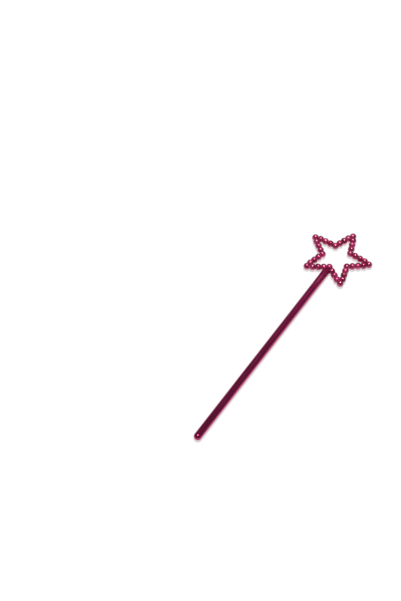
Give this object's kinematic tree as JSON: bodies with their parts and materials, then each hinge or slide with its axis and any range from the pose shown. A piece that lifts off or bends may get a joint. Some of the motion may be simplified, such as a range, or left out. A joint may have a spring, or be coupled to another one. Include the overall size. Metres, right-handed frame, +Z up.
{
  "type": "toy magic wand",
  "caption": "Toy magic wand: a straight round stick with a domed end carries a flat open star of round metallised beads on a bent wire.",
  "frame": {"origin": "on the table under the middle of the wand's length", "axes": "+Y along the stick towards the star, +Z up from the table, +X across the star"},
  "size_m": [0.0354, 0.1468, 0.0039],
  "materials": {
    "stick_finish": "vacuum metallised under a clear magenta lacquer, mirror-like",
    "bead_finish": "vacuum metallised under a clear magenta lacquer, mirror-like",
    "wire_steel": "drawn wire, bright"
  },
  "bodies": {
    "root": {"stick": "stick_finish", "star_wire": "wire_steel", "top_tip_bead": "bead_finish", "right_tip_bead": "bead_finish", "lower_right_tip_bead": "bead_finish", "lower_left_tip_bead": "bead_finish", "left_tip_bead": "bead_finish", "upper_right_corner_bead": "bead_finish", "lower_right_corner_bead": "bead_finish", "root_bead": "bead_finish", "lower_left_corner_bead": "bead_finish", "upper_left_corner_bead": "bead_finish", "top_point_left_beads": "bead_finish", "top_point_right_beads": "bead_finish", "right_point_upper_beads": "bead_finish", "right_point_lower_beads": "bead_finish", "lower_right_point_outer_beads": "bead_finish", "lower_right_point_inner_beads": "bead_finish", "lower_left_point_inner_beads": "bead_finish", "lower_left_point_outer_beads": "bead_finish", "left_point_lower_beads": "bead_finish", "left_point_upper_beads": "bead_finish"}
  },
  "joints": []
}
